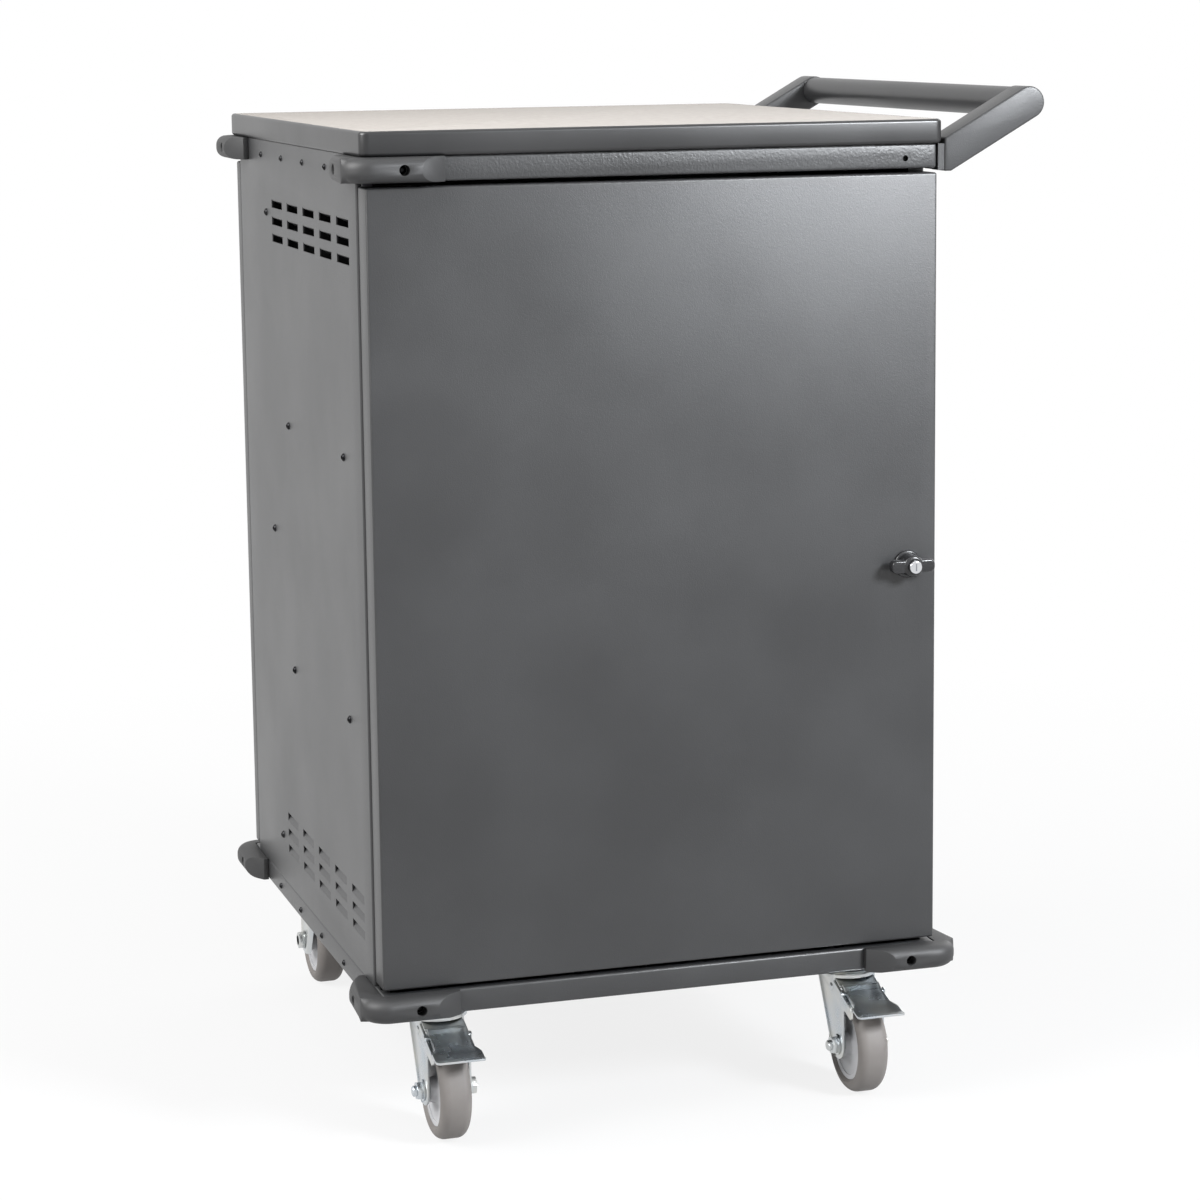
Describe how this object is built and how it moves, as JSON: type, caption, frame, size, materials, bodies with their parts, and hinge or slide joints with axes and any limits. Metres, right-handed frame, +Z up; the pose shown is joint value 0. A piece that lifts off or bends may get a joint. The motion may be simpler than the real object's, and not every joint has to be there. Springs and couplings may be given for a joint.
{
  "type": "laptop charging cart",
  "caption": "Steel laptop charging cart: lockable cabinet with front and rear doors, upright slots, louvred sides, wood-look top, side push handle and swivel casters.",
  "frame": {"origin": "on the floor, in the middle of the cart's overall box", "axes": "+Z up, -Y out of the front door, +X towards the push handle"},
  "size_m": [0.716, 0.687, 1.027],
  "materials": {
    "powder_coat": "fine textured black powder coat",
    "laminate": "matte beige laminate on board",
    "black_edge": "satin black edge moulding",
    "bumper_rubber": "matte moulded dark grey",
    "black_plastic": "fine matte black",
    "zinc": "bright zinc plate",
    "chrome": "polished",
    "grey_tyre": "non-marking grey, matte",
    "pale_hub": "moulded light grey"
  },
  "bodies": {
    "cabinet": {"base_tray": "powder_coat", "top_frame": "powder_coat", "side_panel_left": "powder_coat", "side_panel_right": "powder_coat", "rear_partition": "powder_coat", "shelf_lower": "powder_coat", "shelf_upper": "powder_coat", "divider_rack_bottom": "powder_coat", "divider_rack_middle": "powder_coat", "divider_rack_top": "powder_coat", "handle_arm_front": "powder_coat", "handle_arm_rear": "powder_coat", "handle_tube": "powder_coat", "outlet_strip_left": "black_plastic", "outlet_strip_right": "black_plastic", "power_inlet": "black_plastic", "worktop_board": "laminate", "worktop_edge": "black_edge", "bumper_base_front_left": "bumper_rubber", "bumper_base_front_right": "bumper_rubber", "bumper_base_rear_left": "bumper_rubber", "bumper_base_rear_right": "bumper_rubber", "bumper_top_front_left": "bumper_rubber", "bumper_top_rear_left": "bumper_rubber", "front_pivot_pin_bottom": "zinc", "front_pivot_pin_top": "zinc", "rear_pivot_pin_bottom": "zinc", "rear_pivot_pin_top": "zinc", "caster_front_left_plate": "zinc", "caster_front_right_plate": "zinc", "caster_rear_left_plate": "zinc", "caster_rear_right_plate": "zinc"},
    "front_door": {"front_door": "powder_coat", "front_lock_body": "black_plastic"},
    "front_knob": {"front_lock_knob": "black_plastic", "front_lock_cam": "zinc"},
    "front_key": {"front_lock_plug": "chrome"},
    "rear_door": {"rear_door": "powder_coat", "rear_lock_body": "chrome"},
    "rear_key": {"rear_lock_plug": "chrome", "rear_lock_cam": "zinc"},
    "power_switch": {"power_switch": "black_plastic"},
    "caster_front_left_swivel": {"caster_front_left_fork": "zinc", "caster_front_left_axle": "zinc"},
    "caster_front_left_wheel": {"caster_front_left_hub": "pale_hub", "caster_front_left_tyre": "grey_tyre"},
    "caster_front_left_brake": {"caster_front_left_pedal": "zinc"},
    "caster_front_right_swivel": {"caster_front_right_fork": "zinc", "caster_front_right_axle": "zinc"},
    "caster_front_right_wheel": {"caster_front_right_hub": "pale_hub", "caster_front_right_tyre": "grey_tyre"},
    "caster_front_right_brake": {"caster_front_right_pedal": "zinc"},
    "caster_rear_left_swivel": {"caster_rear_left_fork": "zinc", "caster_rear_left_axle": "zinc"},
    "caster_rear_left_wheel": {"caster_rear_left_hub": "pale_hub", "caster_rear_left_tyre": "grey_tyre"},
    "caster_rear_right_swivel": {"caster_rear_right_fork": "zinc", "caster_rear_right_axle": "zinc"},
    "caster_rear_right_wheel": {"caster_rear_right_hub": "pale_hub", "caster_rear_right_tyre": "grey_tyre"}
  },
  "joints": [
    {"name": "front_door_swing", "type": "hinge", "parent": "cabinet", "child": "front_door", "pos_m": [-0.32699, -0.285, 0.555], "axis": [0, 0, -1], "range_deg": [0, 105]},
    {"name": "front_knob_turn", "type": "hinge", "parent": "front_door", "child": "front_knob", "pos_m": [0.21201, -0.3085, 0.555], "axis": [0, -1, 0], "range_deg": [0, 90]},
    {"name": "front_key_turn", "type": "hinge", "parent": "front_knob", "child": "front_key", "pos_m": [0.21201, -0.3085, 0.555], "axis": [0, -1, 0], "range_deg": [0, 90]},
    {"name": "rear_door_swing", "type": "hinge", "parent": "cabinet", "child": "rear_door", "pos_m": [-0.32699, 0.3085, 0.555], "axis": [0, 0, 1], "range_deg": [0, 105]},
    {"name": "rear_key_turn", "type": "hinge", "parent": "rear_door", "child": "rear_key", "pos_m": [0.21201, 0.3215, 0.555], "axis": [0, -1, 0], "range_deg": [0, 90]},
    {"name": "power_switch_tilt", "type": "hinge", "parent": "cabinet", "child": "power_switch", "pos_m": [0.24001, 0.221, 0.245], "axis": [0, -1, 0], "range_deg": [0, 12]},
    {"name": "caster_front_left_turn", "type": "hinge", "parent": "cabinet", "child": "caster_front_left_swivel", "pos_m": [-0.26599, -0.2415, 0.12], "axis": [0, 0, 1], "continuous": true},
    {"name": "caster_front_left_roll", "type": "hinge", "parent": "caster_front_left_swivel", "child": "caster_front_left_wheel", "pos_m": [-0.26599, -0.2745, 0.05], "axis": [1, 0, 0], "continuous": true},
    {"name": "caster_front_left_brake_press", "type": "hinge", "parent": "caster_front_left_swivel", "child": "caster_front_left_brake", "pos_m": [-0.26599, -0.2855, 0.106], "axis": [1, 0, 0], "range_deg": [0, 12]},
    {"name": "caster_front_right_turn", "type": "hinge", "parent": "cabinet", "child": "caster_front_right_swivel", "pos_m": [0.17401, -0.2415, 0.12], "axis": [0, 0, 1], "continuous": true},
    {"name": "caster_front_right_roll", "type": "hinge", "parent": "caster_front_right_swivel", "child": "caster_front_right_wheel", "pos_m": [0.17401, -0.2745, 0.05], "axis": [1, 0, 0], "continuous": true},
    {"name": "caster_front_right_brake_press", "type": "hinge", "parent": "caster_front_right_swivel", "child": "caster_front_right_brake", "pos_m": [0.17401, -0.2855, 0.106], "axis": [1, 0, 0], "range_deg": [0, 12]},
    {"name": "caster_rear_left_turn", "type": "hinge", "parent": "cabinet", "child": "caster_rear_left_swivel", "pos_m": [-0.26599, 0.2545, 0.12], "axis": [0, 0, 1], "continuous": true},
    {"name": "caster_rear_left_roll", "type": "hinge", "parent": "caster_rear_left_swivel", "child": "caster_rear_left_wheel", "pos_m": [-0.26599, 0.2875, 0.05], "axis": [1, 0, 0], "continuous": true},
    {"name": "caster_rear_right_turn", "type": "hinge", "parent": "cabinet", "child": "caster_rear_right_swivel", "pos_m": [0.17401, 0.2545, 0.12], "axis": [0, 0, 1], "continuous": true},
    {"name": "caster_rear_right_roll", "type": "hinge", "parent": "caster_rear_right_swivel", "child": "caster_rear_right_wheel", "pos_m": [0.17401, 0.2875, 0.05], "axis": [1, 0, 0], "continuous": true}
  ]
}
